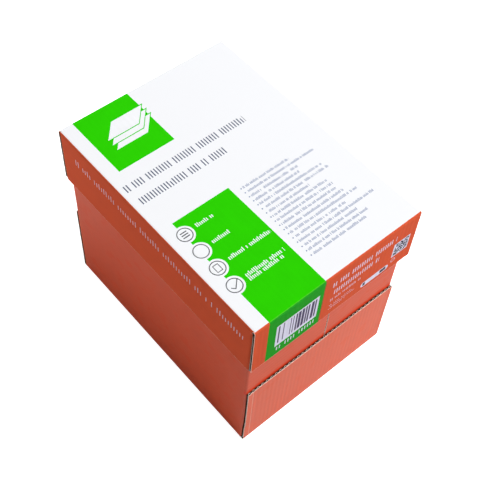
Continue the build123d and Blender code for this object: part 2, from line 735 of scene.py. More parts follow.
@dataclass
class FoldedBlank:
    """A tray or lid folded from one blank of fluted board.

    On the flat blank s runs across the flutes and t along them, both from the middle of
    the flat panel. Depth goes into the board from its printed face.
    """

    name: str
    half_width: float  # to the long walls' printed faces
    half_length: float  # to the end panels' printed faces
    base: float  # height of the flat panel's printed face
    rise: float  # 1 where the walls go up from the flat panel, -1 where they go down
    wall_height: float
    end_height: float
    left_flap: float  # length of the flaps on the -X wall, from that wall's face
    right_flap: float  # the same on the +X wall
    row_step: float  # widest grid cell along the flutes
    seed: int
    smooth_share: float  # strength of the flute lines away from the end panels
    ridge: float = 0.0  # height of the raised line on the near end panel
    ridge_inset: float = 8 * MM  # from that panel's left edge
    ridge_width: float = 1.3 * MM  # from its crest to where it is a third as high
    left_bruise: float = 0.0  # how far the near panel's left edge is pushed in
    bruise_from: float = 0.0  # how far from the fold that starts
    right_slant: float = 0.0  # how far the near panel's right edge slants out
    board: Board = field(default_factory=Board)
    side_inset: float = 0.6 * MM  # side edge of an end panel to the long wall's face
    cut_gap: float = 0.4 * MM  # width of a knife cut
    flap_drop: float = 3.6 * MM  # flap's edge below the flat panel's face

    # ---- where things are on the flat blank
    @property
    def crease_start(self) -> float:
        """Where the flat panel starts to bend into a long wall."""
        return self.half_width - self.board.fold_radius

    @property
    def wall_edge(self) -> float:
        """The long wall's free edge."""
        return self.crease_start + self.board.fold_run + self.wall_height - self.board.fold_radius

    @property
    def flap_top(self) -> float:
        """Where a flap is cut free, close to the flat panel."""
        return self.crease_start + self.board.fold_run + self.flap_drop - self.board.fold_radius

    @property
    def half_flaps(self) -> float:
        """From the middle to the flaps' printed faces."""
        return self.half_length - self.board.thickness

    @property
    def corner_start(self) -> float:
        """Where a long wall starts to bend into a flap."""
        return self.half_flaps - self.board.fold_radius

    @property
    def end_start(self) -> float:
        """Where the flat panel starts to bend into an end panel."""
        return self.half_length - self.board.fold_radius

    @property
    def end_edge(self) -> float:
        """The end panel's free edge."""
        return self.end_start + self.board.fold_run + self.end_height - self.board.fold_radius

    @property
    def half_end(self) -> float:
        """Half of an end panel's width."""
        return self.half_width - self.side_inset

    @property
    def shoulder_start(self) -> float:
        """Where the end panel's full width starts, past the knife cut."""
        return self.half_flaps

    def flap_edge(self, side: float) -> float:
        """Give the free edge of the flaps on one wall."""
        length = self.left_flap if side < 0 else self.right_flap
        return self.corner_start + self.board.fold_run + length - self.board.fold_radius

    def folded(self, run: np.ndarray, flat: float, depth: np.ndarray) -> tuple[np.ndarray, np.ndarray]:
        """Follow a sheet along a flat stretch, round a right-angled fold and along a wall.

        On the flat stretch the way out is the run itself and the way up is the depth. In
        the fold both turn about a centre one fold radius from the two printed faces, on
        a radius that is smaller by the depth. On the wall the way up grows with the run.
        Neither goes past the corner that the two inner faces make.

        Args:
            run: Length along the printed face from the middle, all positive.
            flat: Distance from the middle to the wall's printed face.
            depth: Depth into the board.

        Returns:
            The way out from the middle and the way up from the flat panel's face.
        """
        radius = self.board.fold_radius
        start = flat - radius
        turn = np.clip((run - start) / radius, 0, math.pi / 2)
        wall = np.maximum(run - start - self.board.fold_run, 0)
        out = np.minimum(run, start) + (radius - depth) * np.sin(turn)
        up = radius - (radius - depth) * np.cos(turn) + wall
        return np.minimum(out, flat - depth), np.maximum(up, depth)

    def place(self, panel: Panel, s: np.ndarray, t: np.ndarray, depth: np.ndarray) -> np.ndarray:
        """Give the positions of points of the blank once it is folded.

        The band folds along t and the creases along s. A wall stands at its full width
        already, and its flaps fold round the upright corner along t.

        Args:
            panel: Which stretch of the blank the points are on.
            s: Place across the flutes.
            t: Place along the flutes.
            depth: Depth into the board from the printed face.

        Returns:
            Positions, with three numbers in the last axis.
        """
        s, t, depth = np.broadcast_arrays(s, t, depth)
        if panel is Panel.BAND:
            out, up = self.folded(np.abs(t), self.half_length, depth)
            x, y = s + self.trimmed(s, t), np.sign(t) * out
        elif panel is Panel.CREASE:
            out, up = self.folded(np.abs(s), self.half_width, depth)
            x, y = np.sign(s) * out, t
        else:
            out, inwards = self.folded(np.abs(t), self.half_flaps, depth)
            x, y = np.sign(s) * (self.half_width - inwards), np.sign(t) * out
            up = np.abs(s) - self.crease_start - self.board.fold_run + self.board.fold_radius
        return np.stack([x, y, self.base + self.rise * up], axis=-1)

    def panels(self, s: np.ndarray, t: np.ndarray) -> dict[Panel, np.ndarray]:
        """Mark which points of the flat blank lie on each stretch of it.

        Args:
            s: Place across the flutes.
            t: Place along the flutes.

        Returns:
            A mask for each panel. What no mask holds is cut away.
        """
        out, along = np.abs(s), np.abs(t)
        flap_edge = np.where(s < 0, self.flap_edge(-1), self.flap_edge(1))
        shoulder = (out < self.half_end) & (along > self.shoulder_start)
        band = ((out < self.crease_start) | shoulder) & (along < self.end_edge)
        crease = (out < self.flap_top) & (along < self.shoulder_start - self.cut_gap) & ~band
        wall = (out > self.flap_top) & (along < self.corner_start)
        flap = (out > self.flap_top + self.cut_gap) & (along > self.corner_start) & (along < flap_edge)
        return {Panel.BAND: band, Panel.CREASE: crease, Panel.WALL: wall | flap}

    def lines_across(self, step: float) -> np.ndarray:
        """Give the grid lines across the flutes, with every fold and cut among them.

        Args:
            step: Widest grid cell on the flat stretches.

        Returns:
            Places in rising order.
        """
        marks = [0, self.crease_start, self.half_end, self.crease_start + self.board.fold_run]
        marks += [self.flap_top, self.flap_top + self.cut_gap, self.wall_edge]
        return mirrored(spaced(marks, [step, *[self.board.fold_cell] * 4, step]))

    def lines_along(self) -> np.ndarray:
        """Give the grid lines along the flutes, with every fold and cut among them.

        Returns:
            Places in rising order.
        """
        fold_end = self.end_start + self.board.fold_run
        marks = [0, self.corner_start, self.shoulder_start - self.cut_gap, self.shoulder_start]
        marks += [self.end_start, fold_end]
        edges = sorted({self.end_edge, self.flap_edge(-1), self.flap_edge(1)})
        steps = [self.row_step] + [self.board.fold_cell] * 4 + [self.row_step] * len(edges)
        return mirrored(spaced(marks + edges, steps))

    # ---- the three sheets
    def sunk(self, s: np.ndarray, t: np.ndarray) -> np.ndarray:
        """Give how far the printed face lies below its highest level.

        Between two flutes it sinks by half the washboard depth times one minus the
        cosine of the way from flute to flute. That fades out at the folds and varies
        slowly from place to place, and slow shallow dents are added.

        Args:
            s: Place across the flutes.
            t: Place along the flutes.

        Returns:
            The depth at each place.
        """
        board = self.board
        half_run = board.fold_run / 2
        on_end = np.abs(s) < self.half_end
        crease = np.abs(np.abs(s) - self.crease_start - half_run)
        corner = np.abs(np.abs(t) - np.where(on_end, self.end_start, self.corner_start) - half_run)
        fade = smooth_step(np.minimum(crease, corner), half_run, half_run + board.washboard_fade)
        on_end_panel = on_end & (np.abs(t) > self.end_start)
        steady, varied = 0.8, 0.3
        strength = steady + varied * ripple(s, t, board.washboard_wander, self.seed)
        strength = strength * np.where(on_end_panel, 1.0, self.smooth_share)
        flutes = board.washboard * (1 - np.cos(math.tau * s / board.flute_pitch)) / 2
        dents = board.dent * slow_depth(s, t, board.dent_length, self.seed + 1)
        dents = dents * np.where(on_end_panel, 1.0, board.dent_share)
        return fade * (flutes * strength + dents + self.bruised(s, t))

    def bruised(self, s: np.ndarray, t: np.ndarray) -> np.ndarray:
        """Sink the near end panel but for a raised line beside its left edge.

        The line is a bell curve across the flutes, and follows the bruised edge.

        Args:
            s: Place across the flutes.
            t: Place along the flutes.

        Returns:
            The depth at each place.
        """
        fade = 20 * MM
        on_near_end = smooth_step(-t, self.end_start, self.end_start + fade)
        left_edge = np.full_like(s, -self.half_end)
        line = left_edge + self.ridge_inset + self.trimmed(left_edge, t)
        bell = np.exp(-(((s - line) / self.ridge_width) ** 2))
        return self.ridge * on_near_end * (1 - bell)

    def trimmed(self, s: np.ndarray, t: np.ndarray) -> np.ndarray:
        """Give how far bruises and a slanting cut shift places near an end panel's side edges.

        The shift grows over the last stretch before the edge. On the near left edge it
        sets in where the bruise starts and stays to the free edge, and on the near right
        edge it grows evenly towards the free edge. Everywhere it wanders a little.

        Args:
            s: Place across the flutes.
            t: Place along the flutes.

        Returns:
            The shift along s at each place.
        """
        fade, side_fade, rough_cut, rough_length = mm(10, 14, 0.12, 30)
        beyond = smooth_step(np.abs(t), self.end_start, self.end_start + fade)
        beside = smooth_step(np.abs(s), self.half_end - side_fade, self.half_end)
        wander = rough_cut * slow_depth(t, 3 * t, rough_length, self.seed + 2)
        down = np.abs(t) - self.end_start
        step = self.left_bruise * smooth_step(down, self.bruise_from, self.bruise_from + fade)
        slant = self.right_slant * smooth_step(down, 0, self.end_height)
        near = t < 0
        inwards = wander + np.where(near & (s < 0), step, 0) - np.where(near & (s > 0), slant, 0)
        return -np.sign(s) * beyond * beside * inwards

    def add_facing(self, shell: Shell, step: float, printed: bool) -> None:
        """Add one of the two flat sheets to a shell, as a closed slab.

        Args:
            shell: Takes the sheet in.
            step: Widest grid cell across the flutes.
            printed: True for the printed sheet, False for the inner one.
        """
        across, along = self.lines_across(step), self.lines_along()
        s, t = np.meshgrid(across, along, indexing="ij")
        centre_s = (across[1:] + across[:-1])[:, None] / 2
        centre_t = (along[1:] + along[:-1])[None, :] / 2
        panels = self.panels(*np.broadcast_arrays(centre_s, centre_t))
        filled = np.logical_or.reduce(list(panels.values()))
        outer = self.sunk(s, t) if printed else self.board.thickness - self.board.facing
        cells = grid_quads(*s.shape)
        places = np.stack([s, t], axis=-1)
        if printed:
            faces, rim = (BoardFace.PRINT, BoardFace.SHADED_HOLLOW), BoardFace.CUT
        else:
            # The inner sheet's cut edge takes the dark finish too: painted shade, as it lies in shadow
            # against the wall.
            faces, rim = (BoardFace.SHADED_HOLLOW, BoardFace.LINER), BoardFace.SHADED_HOLLOW
        for panel, mask in panels.items():
            layers = [
                self.place(panel, s, t, outer),
                self.place(panel, s, t, outer + self.board.facing),
            ]
            first = [shell.points_from(layer, places) for layer in layers]
            for start, face in zip(first, faces):
                shell.quads_from(cells[mask.ravel()] + start, face.value)
            shell.quads_from(rim_quads(mask, filled) + first[0], rim.value)

    def add_fluting(
        self,
        shell: Shell,
        panel: Panel,
        across: Pair,
        along: Pair,
        row_step: float,
    ) -> None:
        """Add a stretch of the waved sheet to a shell, as a closed slab.

        Its middle lies midway between the two facings, with the printed one as far sunk
        as it goes between two flutes, less the wave's height times the cosine of the way
        from flute to flute. Its two faces lie half its thickness to either side of that
        wave, square to it. There are twelve grid cells to a flute.

        Args:
            shell: Takes the stretch in.
            panel: The stretch of the blank it lies in.
            across: From and to, across the flutes.
            along: From and to, along the flutes.
            row_step: Widest grid cell along the flutes.
        """
        board = self.board
        wave = (board.thickness - 2 * board.facing - board.flute_sheet - board.washboard) / 2
        per_length = math.tau / board.flute_pitch
        s = spaced(sorted(across), [board.flute_pitch / 12])[:, None]
        t = spaced(sorted(along), [row_step])[None, :]
        middle = (board.thickness + board.washboard) / 2 - wave * np.cos(per_length * s)
        slope = wave * per_length * np.sin(per_length * s)
        square = board.flute_sheet / 2 / np.sqrt(1 + slope**2)
        layers, places = [], []
        for side in (-1, 1):
            moved = np.clip(s - side * slope * square, min(across), max(across))
            layers.append(self.place(panel, moved, t, middle + side * square))
            places.append(np.stack(np.broadcast_arrays(s, t), axis=-1))
        rows, columns = layers[0].shape[:2]
        first = [shell.points_from(layer, place) for layer, place in zip(layers, places)]
        cells = grid_quads(rows, columns)
        whole = np.ones((rows - 1, columns - 1), dtype=bool)
        for start in first:
            shell.quads_from(cells + start, FluteFace.SIDE.value)
        shell.quads_from(rim_quads(whole, whole) + first[0], FluteFace.CUT.value)

    def flute_ends(self, shell: Shell) -> None:
        """Add the waved sheet all over the end panels and behind every other cut edge.

        Args:
            shell: Takes the stretches in.
        """
        tuck, depth = self.board.tuck, self.board.mouth_depth
        panel_step, wall_step = mm(12, 1.4)
        half_end, end_edge = self.half_end - tuck, self.end_edge - tuck
        for end in (-1, 1):
            stretch = (end * self.shoulder_start, end * end_edge)
            self.add_fluting(shell, Panel.BAND, (-half_end, half_end), stretch, panel_step)
        for side in (-1, 1):
            reach = self.flap_edge(side) - tuck
            inner = side * (self.wall_edge - depth)
            edge = (inner, side * (self.wall_edge - tuck))
            self.add_fluting(shell, Panel.WALL, edge, (-reach, reach), wall_step)
            rest_of_wall = (side * (self.flap_top + self.cut_gap), inner)
            for end in (-1, 1):
                stretch = (end * (reach - depth), end * reach)
                self.add_fluting(shell, Panel.WALL, rest_of_wall, stretch, depth)

    def build(
        self, materials: Sequence[bpy.types.Material], fluting: Sequence[bpy.types.Material]
    ) -> list[bpy.types.Object]:
        """Make the blank's two pieces.

        The printed facing has four grid cells to a flute, and the inner one, which lies
        flat, has one cell to two flutes.

        Args:
            materials: Finishes of the two facings, in the order of BoardFace.
            fluting: Finishes of the waved sheet, in the order of FluteFace.

        Returns:
            The two facings as one piece, and the waved sheet.
        """
        facings = Shell()
        self.add_facing(facings, self.board.flute_pitch / 4, printed=True)
        self.add_facing(facings, self.board.flute_pitch * 2, printed=False)
        waved = Shell()
        self.flute_ends(waved)
        return [facings.build(self.name, materials), waved.build(f"{self.name}_fluting", fluting)]


def make_lid() -> FoldedBlank:
    """Take the lid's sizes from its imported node.

    Returns:
        The lid's blank.
    """
    low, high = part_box("lid")
    tab = 92 * MM
    return FoldedBlank(
        name="lid_board",
        half_width=high.x,
        half_length=high.y,
        base=high.z,
        rise=-1,
        wall_height=high.z - low.z,
        end_height=high.z - low.z,
        left_flap=tab,
        right_flap=tab,
        row_step=9 * MM,
        seed=11,
        smooth_share=0.05,
        right_slant=0.6 * MM,
    )


def make_tray() -> FoldedBlank:
    """Take the tray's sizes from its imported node.

    Returns:
        The tray's blank, whose flaps reach to the slits that are off the ends' middles.
    """
    low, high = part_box("tray")
    slit_middle, slit_width = 4.4 * MM, 1.2 * MM
    return FoldedBlank(
        name="tray_board",
        half_width=high.x,
        half_length=high.y,
        base=low.z,
        rise=1,
        wall_height=high.z - low.z,
        end_height=110.7 * MM,
        left_flap=high.x + slit_middle - slit_width / 2,
        right_flap=high.x - slit_middle - slit_width / 2,
        row_step=14 * MM,
        seed=23,
        smooth_share=0.3,
        ridge=0.3 * MM,
        left_bruise=1.0 * MM,
        bruise_from=30 * MM,
    )


# ------------------------------------------------------------------ reams
@dataclass
class Ream:
    """One sealed pack of sheets in a wrapper whose ends are folded in like a parcel's."""

    node: str
    seed: int
    edge_radius: float = 1.2 * MM
    fold_rise: float = 0.3 * MM
    fold_margin: float = 2.7 * MM
    fold_gap: float = 3.0 * MM
    fold_ramp: float = 0.9 * MM  # width of the slope at a fold's edges
    cell: float = 7 * MM  # widest grid cell on the large sides
    end_cells: Pair = (2.0 * MM, 1.0 * MM)  # the same on the ends, along X and up
    edge_cell: float = 0.3 * MM  # the same on the rounded edges
    slow_slack: Pair = (0.07 * MM, 80 * MM)  # depth and length of the wrapper's slow waves
    fine_slack: Pair = (0.03 * MM, 17 * MM)  # the same of its small wrinkles

    def build(self, material: bpy.types.Material) -> bpy.types.Object:
        """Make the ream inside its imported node's box.

        Six grids cover the sides of a box. A point within the edge radius of an edge is
        moved onto the rounded edge: it lies one radius from the nearest point of the box
        that is smaller by the radius all round. The two ends carry the folds.

        Args:
            material: The wrapper's finish.

        Returns:
            The new piece.
        """
        low, high = (np.array(corner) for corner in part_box(self.node))
        centre = (low + high) / 2
        half = (high - low) / 2
        half[1] -= self.fold_rise
        shell = Shell()
        for axis in range(3):
            first, second = (other for other in range(3) if other != axis)
            cells = self.end_cells if axis == 1 else (self.cell, self.cell)
            u = self.side_lines(half[first], cells[0])
            v = self.side_lines(half[second], cells[1])
            for side in (-1, 1):
                box = np.zeros((len(u), len(v), 3))
                box[..., first], box[..., second] = u[:, None], v[None, :]
                box[..., axis] = side * half[axis]
                core = np.clip(box, -(half - self.edge_radius), half - self.edge_radius)
                away = box - core
                away /= np.linalg.norm(away, axis=-1, keepdims=True)
                points = core + self.edge_radius * away
                if axis == 1:
                    points[..., 1] += side * self.fold_height(points[..., 0], points[..., 2], half)
                points -= away * self.slack(points)[..., None]
                start = shell.points_from(points + centre, points[..., [first, second]])
                shell.quads_from(grid_quads(len(u), len(v)) + start, 0)
        return shell.build(f"{self.node}_wrap", [material])

    def side_lines(self, half: float, step: float) -> np.ndarray:
        """Give grid lines over one side, close together at its rounded edges."""
        core = half - self.edge_radius
        return mirrored(spaced([0, core, half], [step, self.edge_cell]))

    def fold_height(self, x: np.ndarray, z: np.ndarray, half: np.ndarray) -> np.ndarray:
        """Give how far the folded end stands out, at places on a short end.

        The upper and the lower fold are trapezoids that narrow at 45 degrees towards
        mid-height, with a low ramp at their edges.

        Args:
            x: Place across the end, from its middle.
            z: Place up the end, from its middle.
            half: Half of the ream's size along each axis.

        Returns:
            The rise at each place.
        """
        inside = half[2] - self.fold_margin - np.abs(z)
        past_gap = np.abs(z) - self.fold_gap / 2
        slant = (half[0] - self.fold_margin - inside - np.abs(x)) / math.sqrt(2)
        reach = np.minimum(np.minimum(inside, past_gap), slant)
        return self.fold_rise * smooth_step(reach, 0, self.fold_ramp)

    def slack(self, points: np.ndarray) -> np.ndarray:
        """Give how far the wrapper sinks inwards, as slow waves and small wrinkles.

        Args:
            points: Positions from the ream's middle.

        Returns:
            The depth at each point.
        """
        along, across = points[..., 1] + points[..., 2], points[..., 0] - points[..., 2]
        sunk = np.zeros(along.shape)
        for number, (depth, length) in enumerate((self.slow_slack, self.fine_slack)):
            sunk += depth * slow_depth(along, across, length, self.seed + number)
        return sunk


# ------------------------------------------------------------------ finishes
@dataclass(frozen=True)
class PlainPaper:
    """Unprinted paper with short fibres lying along the machine's run."""

    name: str
    light: Colour
    dark: Colour
    roughness: float
    clouds: Triple = (60, 60, 60)  # lumps in a metre, along each axis
    fibres: Triple = (2200, 500, 700)
    fibre_share: float = 0.6  # of the fibres in the tone, and the rest is clouds
    fibre_depth: float = 0.03 * MM
    spread: float = 0.05  # of the roughness, either way
    gloss: float = 0.25

    def make(self) -> bpy.types.Material:
        """Write the material.

        Returns:
            The finished material.
        """
        nodes = NodeSheet(self.name)
        place = nodes.object_place()
        clouds = nodes.noise(place, self.clouds, 4)
        fibres = nodes.noise(place, self.fibres, 2)
        tone = nodes.blend(fibres, self.fibre_share, nodes.times(clouds, 1 - self.fibre_share))
        colour = nodes.mix(nodes.rescale(tone, 0.0, 1.0), self.dark, self.light)
        rough = nodes.rescale(clouds, self.roughness - self.spread, self.roughness + self.spread)
        return nodes.finish(colour, rough, nodes.relief(fibres, self.fibre_depth), self.gloss)


@dataclass(frozen=True)
class WrapPaper:
    """The reams' white coated wrapper."""

    white: Colour = ink(240, 242, 246)
    shadow: Colour = ink(226, 229, 236)
    clouds: Triple = (25, 18, 40)  # lumps in a metre, along each axis
    creases: Triple = (160, 90, 220)
    crease_depth: float = 0.12 * MM
    roughness: Pair = (0.32, 0.46)
    gloss: float = 0.45

    def make(self) -> bpy.types.Material:
        """Write the material.

        Returns:
            The finished material.
        """
        nodes = NodeSheet("ream_wrapper")
        place = nodes.object_place()
        clouds = nodes.noise(place, self.clouds, 4)
        creases = nodes.noise(place, self.creases, 3)
        colour = nodes.mix(nodes.rescale(clouds, 0.0, 1.0), self.shadow, self.white)
        rough = nodes.rescale(creases, *self.roughness)
        return nodes.finish(colour, rough, nodes.relief(creases, self.crease_depth), self.gloss)


@dataclass(frozen=True)
class PrintedBoard:
    """What all printed board shares: uneven ink, flute lines of painted light and shade, paper grain and
    worn edges.
    """

    blank: FoldedBlank  # what the print covers
    roughness: float
    gloss: float
    spread: float = 0.03  # of the roughness, either way
    unevenness: float = 0.04  # share of the ink's tone, for the clouds and the painted flute shading
    calm: float = 0.3  # strength of the painted flute shading in that, away from the ends
    line_wander: Triple = (55, 14, 1)  # lumps in a metre: across, along and through the board
    streaks: Triple = (420, 9, 1)
    clouds: Triple = (60, 50, 1)
    chips: Triple = (240, 240, 1)
    grain: Triple = (1500, 1500, 1500)
    grain_depth: float = 0.02 * MM
    streak_share: float = 0.6  # of the streaks, against the lines over the flutes
    cloud_share: float = 0.6  # of the clouds, against both
    bare: Colour = ink(240, 208, 190)  # paper where the ink has worn off
    worn: Pair = (0.1 * MM, 0.8 * MM)  # least and greatest width of a worn edge
    worn_share: float = 0.6  # how far the paper shows there

    def on_end_panels(self, nodes: PrintSheet) -> Socket:
        """Mark the two end panels."""
        on_band = nodes.between(nodes.s, -self.blank.half_end, self.blank.half_end)
        return nodes.times(on_band, nodes.above(nodes.size(nodes.t), self.blank.end_start))

    def worn_edges(self, nodes: PrintSheet) -> None:
        """Let pale paper show in an uneven line along the cut edges.

        A place is worn when it lies nearer to an edge than a reach that varies along it.

        Args:
            nodes: The print so far.
        """
        blank = self.blank
        reach = nodes.rescale(nodes.noise(nodes.sheet, self.chips, 3), *self.worn)
        out = nodes.size(nodes.s)
        out_reach = nodes.plus(out, reach)
        along_reach = nodes.plus(nodes.size(nodes.t), reach)
        left_flap, right_flap = blank.flap_edge(-1), blank.flap_edge(1)
        flap_edge = nodes.blend(nodes.below(nodes.s, 0.0), left_flap - right_flap, right_flap)
        panel_edges = nodes.either(
            nodes.above(along_reach, blank.end_edge), nodes.above(out_reach, blank.half_end)
        )
        worn = nodes.either(
            nodes.times(self.on_end_panels(nodes), panel_edges),
            nodes.above(out_reach, blank.wall_edge),
            nodes.times(nodes.above(out, blank.flap_top), nodes.above(along_reach, flap_edge)),
        )
        nodes.lay(nodes.times(worn, self.worn_share), self.bare)

    def dress(self, nodes: PrintSheet, inked: Value = 1.0) -> bpy.types.Material:
        """Finish a print with the board's own tone and grain.

        The tone has light and dark lines over the flutes, painted light and shade of the washboard
        relief, whose strength wanders along and across the board; the ink is also cloudy on a larger
        scale.

        Args:
            nodes: The print so far.
            inked: Where there is ink for this to show in.

        Returns:
            The finished material.
        """
        wave = nodes.math("COSINE", nodes.times(nodes.s, math.tau / self.blank.board.flute_pitch))
        wander = nodes.rescale(nodes.noise(nodes.sheet, self.line_wander, 2), 0.0, 1.0)
        streaks = nodes.rescale(nodes.noise(nodes.sheet, self.streaks, 2), -1.0, 1.0)
        clouds = nodes.rescale(nodes.noise(nodes.sheet, self.clouds, 4), -1.0, 1.0)
        grain = nodes.noise(nodes.object_place(), self.grain, 2)
        # Painted light and shade of the washboard relief: streaks and a wave over each flute.
        lines = nodes.blend(streaks, self.streak_share, nodes.times(wave, wander))
        on_ends = nodes.above(nodes.size(nodes.t), self.blank.end_start)
        strength = nodes.blend(on_ends, 1 - self.calm, self.calm)
        uneven = nodes.blend(clouds, self.cloud_share, nodes.times(lines, strength))
        tone = nodes.blend(uneven, nodes.times(inked, self.unevenness), 1.0)
        colour = nodes.shade(nodes.colour, tone)
        rough = nodes.rescale(clouds, self.roughness - self.spread, self.roughness + self.spread)
        return nodes.finish(colour, rough, nodes.relief(grain, self.grain_depth), self.gloss)


@dataclass(frozen=True)
class TrayPrint(PrintedBoard):
    """Solid orange ink on the tray, with painted light on the end panels and painted shade just above
    them.
    """

    orange: Colour = ink(222, 86, 50)
    painted_light_end_orange: Colour = ink(226, 100, 67)  # lighter orange on the end panels: painted light for the brighter light that falls on them
    # painted shade: deeper, redder orange in the recess above the end panels, with bounced orange light
    painted_shade_orange: Colour = ink(240, 60, 0)
    roughness: float = 0.5
    gloss: float = 0.24
    painted_shade_start: float = -1 * MM  # where the painted shade starts, above the end panels' edges
    painted_shade_rise: float = 2.5 * MM  # how far it stays at its deepest above them
    painted_shade_fade: float = 6 * MM  # the stretch over which it fades above that
    pale_crest_width: float = 1.4 * MM  # of the pale line on the crest
    pale_crest_share: float = 0.3  # how far the paper shows there

    def make(self) -> bpy.types.Material:
        """Write the material.

        Returns:
            The finished material.
        """
        nodes = PrintSheet("tray_print", self.orange)
        # Painted shade in the recess just above the end panels.
        self.paint_shade_above_end_panels(nodes)
        # The end panels get a lighter copy of the orange: painted light.
        nodes.lay(self.on_end_panels(nodes), self.painted_light_end_orange)
        self.pale_crest_line(nodes)
        self.worn_edges(nodes)
        return self.dress(nodes)

    def paint_shade_above_end_panels(self, nodes: PrintSheet) -> None:
        """Paint shade on the flaps: deepen their orange towards the end panels' upper edges, as a
        straight slope.

        Args:
            nodes: The print so far.
        """
        tray = self.blank
        height = nodes.plus(nodes.size(nodes.s), tray.wall_height - tray.wall_edge)
        rise = nodes.minus(height, tray.end_height)
        faded = nodes.math("DIVIDE", nodes.minus(rise, self.painted_shade_rise), self.painted_shade_fade)
        share = nodes.math("MINIMUM", nodes.either(nodes.minus(1.0, faded), 0.0), 1.0)
        on_flap = nodes.above(nodes.size(nodes.t), tray.corner_start)
        nodes.lay(nodes.times(share, on_flap, nodes.above(rise, self.painted_shade_start)), self.painted_shade_orange)

    def pale_crest_line(self, nodes: PrintSheet) -> None:
        """Lighten the print towards bare paper on the crest of the near end panel's raised line.

        Args:
            nodes: The print so far.
        """
        crest = self.blank.ridge_inset - self.blank.half_end
        half = self.pale_crest_width / 2
        on_crest = nodes.between(nodes.s, crest - half, crest + half)
        on_near_end = nodes.below(nodes.t, -self.blank.end_start)
        nodes.lay(nodes.times(on_crest, on_near_end, self.pale_crest_share), self.bare)


class Mark(Enum):
    """What a ring on the lid's top holds."""

    BARS = "three short bars, one above another"
    NOTHING = "nothing"
    SHEET = "the outline of an upright sheet"
    TICK = "a short and a long stroke at right angles"

    def mask(self, nodes: NodeSheet, u: Socket, v: Socket) -> Value:
        """Mark what the ring holds.

        Args:
            nodes: The material's nodes.
            u: Coordinate to the right of the ring's middle.
            v: Coordinate up from it.

        Returns:
            The mask.
        """
        if self is Mark.BARS:
            bar = Patch(*mm(-4, 4, -0.6, 0.6))
            return nodes.either(*(bar.mask(nodes, u, nodes.minus(v, level)) for level in mm(-3, 0, 3)))
        if self is Mark.SHEET:
            outline, line = Patch(*mm(-3.4, 3.4, -4.6, 4.6)), 0.8 * MM
            return nodes.without(outline.mask(nodes, u, v), outline.grown(-line).mask(nodes, u, v))
        if self is Mark.TICK:
            corner_u, corner_v = mm(-1.4, -3.6)
            right, up = nodes.minus(u, corner_u), nodes.minus(v, corner_v)
            rising, falling = nodes.plus(right, up), nodes.minus(right, up)
            long, short = Patch(*mm(-0.7, 17, -0.7, 0.7)), Patch(*mm(-0.7, 0.7, -6.5, 0.7))
            return nodes.either(long.mask(nodes, rising, falling), short.mask(nodes, rising, falling))
        return 0.0


